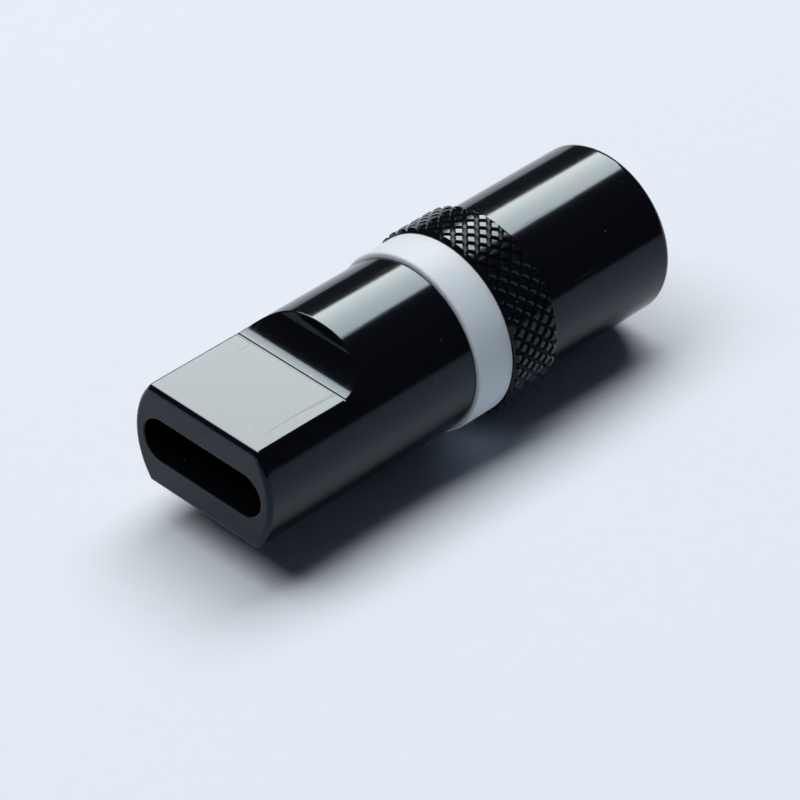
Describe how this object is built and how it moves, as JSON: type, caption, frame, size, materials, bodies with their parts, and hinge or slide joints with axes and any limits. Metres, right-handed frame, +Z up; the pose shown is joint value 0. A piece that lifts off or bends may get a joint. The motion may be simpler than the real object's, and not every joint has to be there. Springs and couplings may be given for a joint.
{
  "type": "usb-c plug housing",
  "caption": "Cylindrical metal housing for a small oval data plug, with milled flats, a slotted face, a frosted light ring and a knurled screw-on rear sleeve.",
  "frame": {"origin": "on the surface that the housing rests on, under the middle of its length", "axes": "+X along the plug's axis towards the cable's hole, +Z up, square to the milled flats"},
  "size_m": [0.0304, 0.011, 0.0109],
  "materials": {
    "black_anodised": "satin black anodised",
    "frosted_plastic": "frosted, lets light through",
    "board_white": "white lacquered circuit board",
    "lamp_clear": "clear resin over a pale yellow base",
    "resistor_black": "glazed black"
  },
  "bodies": {
    "front": {"front_shell": "black_anodised", "light_ring": "frosted_plastic", "lamp_board": "board_white", "lamp_led_1": "lamp_clear", "lamp_led_2": "lamp_clear", "lamp_led_3": "lamp_clear", "lamp_led_4": "lamp_clear", "lamp_resistor": "resistor_black"},
    "sleeve": {"rear_sleeve": "black_anodised"}
  },
  "joints": [
    {"name": "sleeve_screw", "type": "hinge", "parent": "front", "child": "sleeve", "pos_m": [0.00237, 0, 0.00545], "axis": [1, 0, 0], "range_deg": [0, 1665]}
  ]
}
